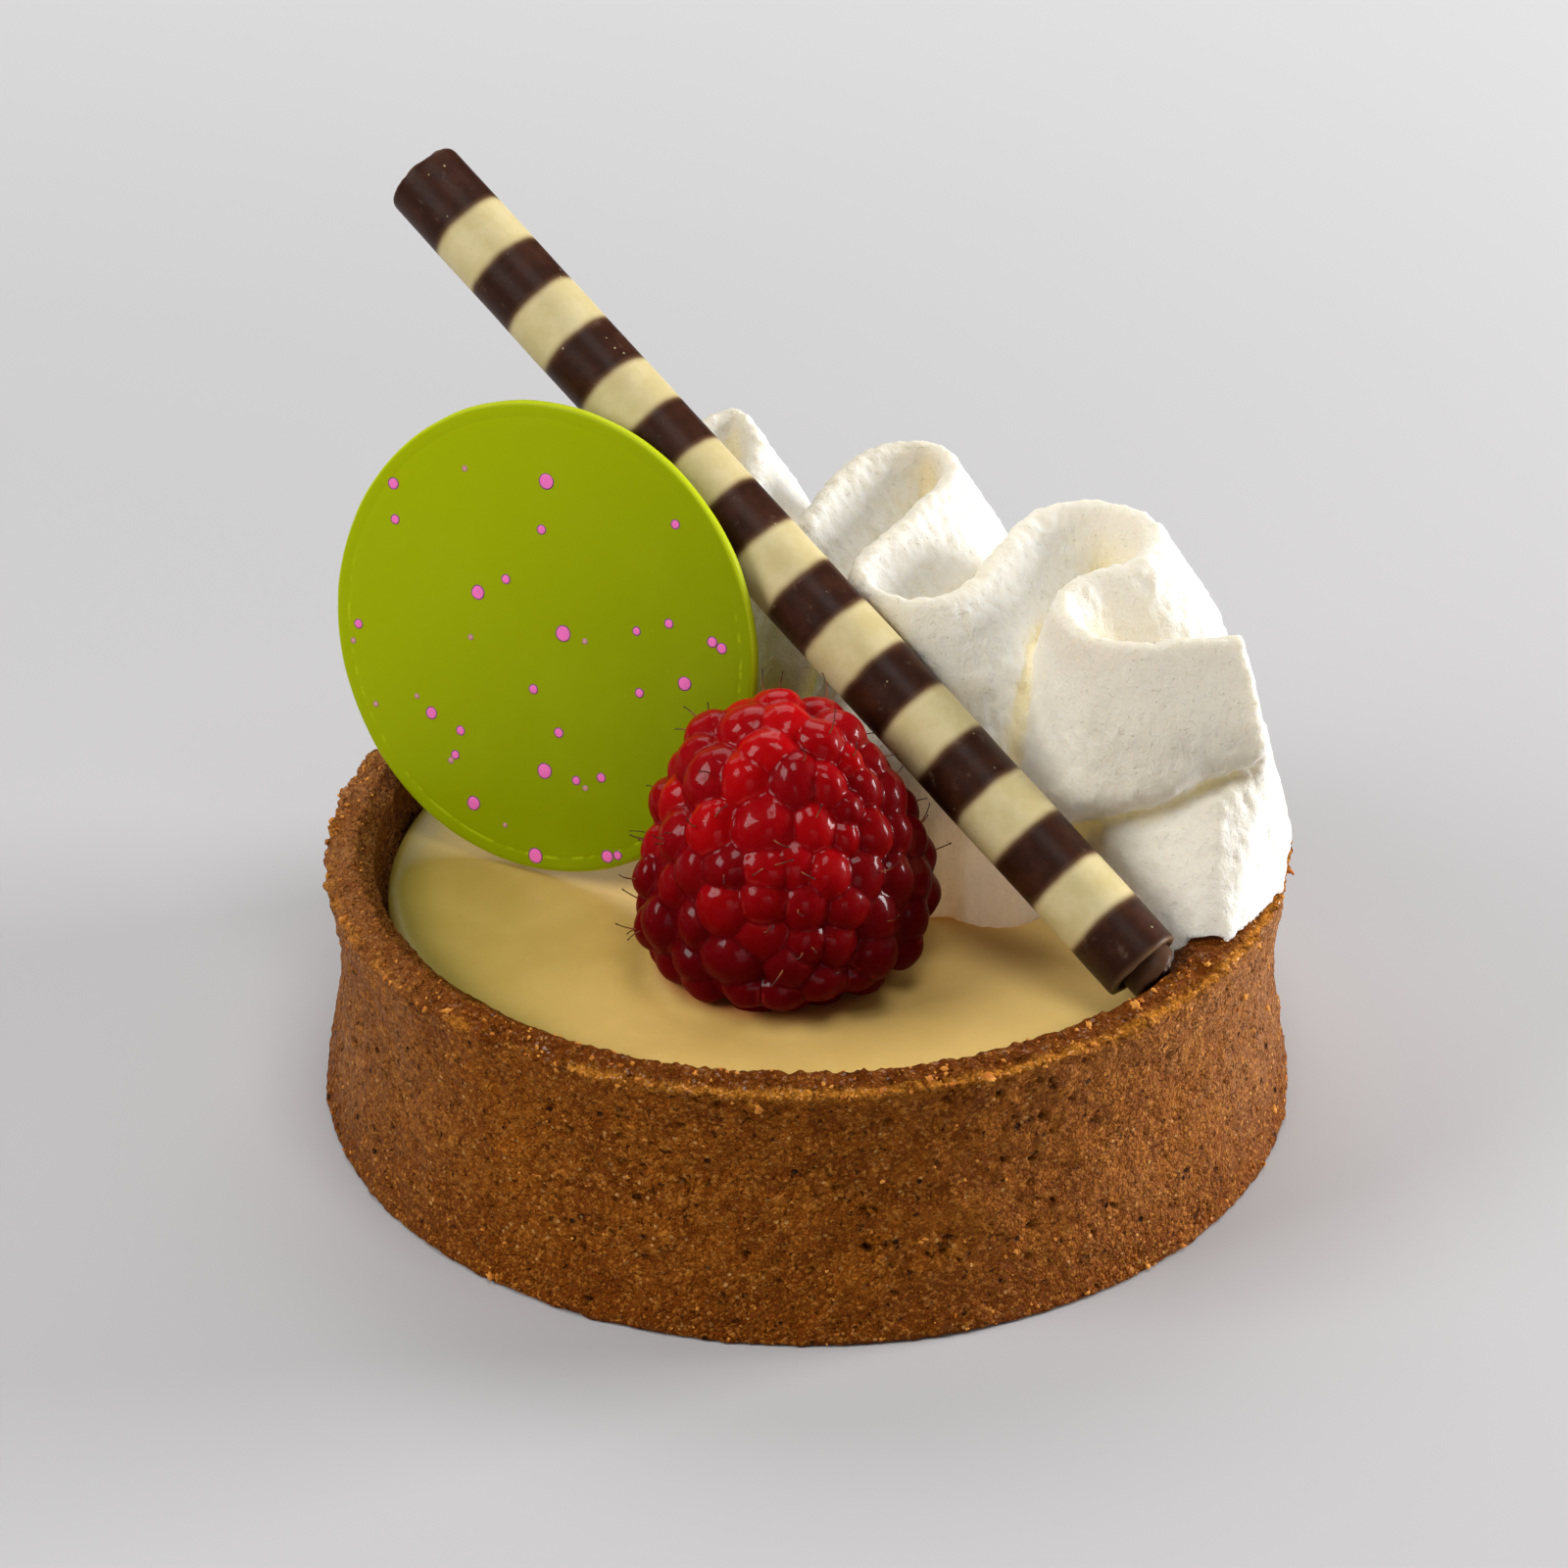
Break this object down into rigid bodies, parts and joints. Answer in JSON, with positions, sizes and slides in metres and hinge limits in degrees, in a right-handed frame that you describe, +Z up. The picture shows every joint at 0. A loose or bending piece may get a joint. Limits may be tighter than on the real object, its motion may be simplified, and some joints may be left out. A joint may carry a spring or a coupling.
{
  "type": "key lime pie",
  "caption": "Small round key lime pie in a straight-sided pastry shell, topped with piped cream, a raspberry, a dotted chocolate disc and a striped chocolate pencil.",
  "frame": {"origin": "centre of the pastry shell's flat base", "axes": "+Z up out of the shell; -Y towards the side the toppings face, with the chocolate disc at -X and the end of the piped cream at +X"},
  "size_m": [0.0759, 0.0758, 0.0683],
  "materials": {
    "baked_pastry": "matt baked shortcrust with small pores and crumbs",
    "lime_custard": "smooth set custard with a soft sheen",
    "green_chocolate": "satin chocolate with small pink dots",
    "striped_chocolate": "satin dark chocolate with white chocolate bands",
    "raspberry": "moist, glossy",
    "whipped_cream": "matt, finely pored"
  },
  "bodies": {
    "root": {"pastry_shell": "baked_pastry", "lime_filling": "lime_custard", "chocolate_disc": "green_chocolate", "chocolate_pencil": "striped_chocolate", "raspberry": "raspberry", "whipped_cream": "whipped_cream"}
  },
  "joints": []
}
